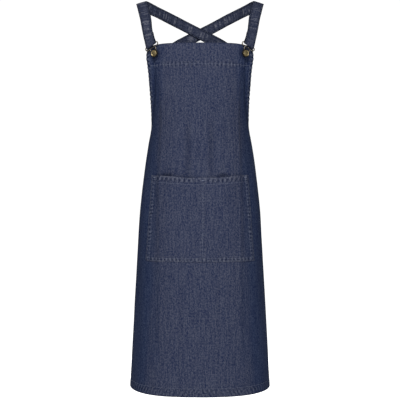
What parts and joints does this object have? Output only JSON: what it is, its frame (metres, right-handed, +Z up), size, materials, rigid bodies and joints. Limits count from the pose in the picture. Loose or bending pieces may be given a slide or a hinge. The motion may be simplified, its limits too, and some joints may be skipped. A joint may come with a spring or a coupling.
{
  "type": "cross-back bib apron",
  "caption": "Knee-length denim smock apron that wraps the body, with a divided patch pocket and crossed straps held by dungaree buckles.",
  "frame": {"origin": "midway between the crests of the two shoulder straps, level with their highest points", "axes": "-Y out of the apron's front, +X to the right of someone facing the front, +Z up; left pieces are on -X"},
  "size_m": [0.3671, 0.2809, 1.0041],
  "materials": {
    "denim": "indigo denim, matte twill",
    "denim_pocket": "indigo denim, matte twill",
    "denim_strap": "indigo denim, matte twill, darker at its edges",
    "thread": "pale blue sewing thread",
    "buckle_wire": "antique gunmetal wire",
    "button_brass": "antique brass, dark in its ring",
    "tack_metal": "dull brass"
  },
  "bodies": {
    "apron": {"body_panel": "denim", "bib_facing": "denim", "pocket_panel": "denim_pocket", "pocket_bartacks": "thread", "left_strap": "denim_strap", "right_strap": "denim_strap", "strap_anchor_bartacks": "thread", "left_button_tack": "tack_metal", "right_button_tack": "tack_metal"},
    "left_buckle": {"left_buckle": "buckle_wire", "left_strap_end": "denim_strap", "left_strap_bartack": "thread"},
    "left_button": {"left_button_cap": "button_brass", "left_button_shank": "button_brass"},
    "right_buckle": {"right_buckle": "buckle_wire", "right_strap_end": "denim_strap", "right_strap_bartack": "thread"},
    "right_button": {"right_button_cap": "button_brass", "right_button_shank": "button_brass"}
  },
  "joints": [
    {"name": "left_buckle_turn", "type": "hinge", "parent": "apron", "child": "left_buckle", "pos_m": [-0.1107, -0.07763, -0.1485], "axis": [-0.4384, -0.8988, 0], "range_deg": [-12, 12]},
    {"name": "left_button_spin", "type": "hinge", "parent": "apron", "child": "left_button", "pos_m": [-0.1107, -0.07763, -0.1485], "axis": [-0.4384, -0.8988, 0], "continuous": true},
    {"name": "right_buckle_turn", "type": "hinge", "parent": "apron", "child": "right_buckle", "pos_m": [0.1107, -0.07763, -0.1485], "axis": [0.4384, -0.8988, 0], "range_deg": [-12, 12]},
    {"name": "right_button_spin", "type": "hinge", "parent": "apron", "child": "right_button", "pos_m": [0.1107, -0.07763, -0.1485], "axis": [0.4384, -0.8988, 0], "continuous": true}
  ]
}
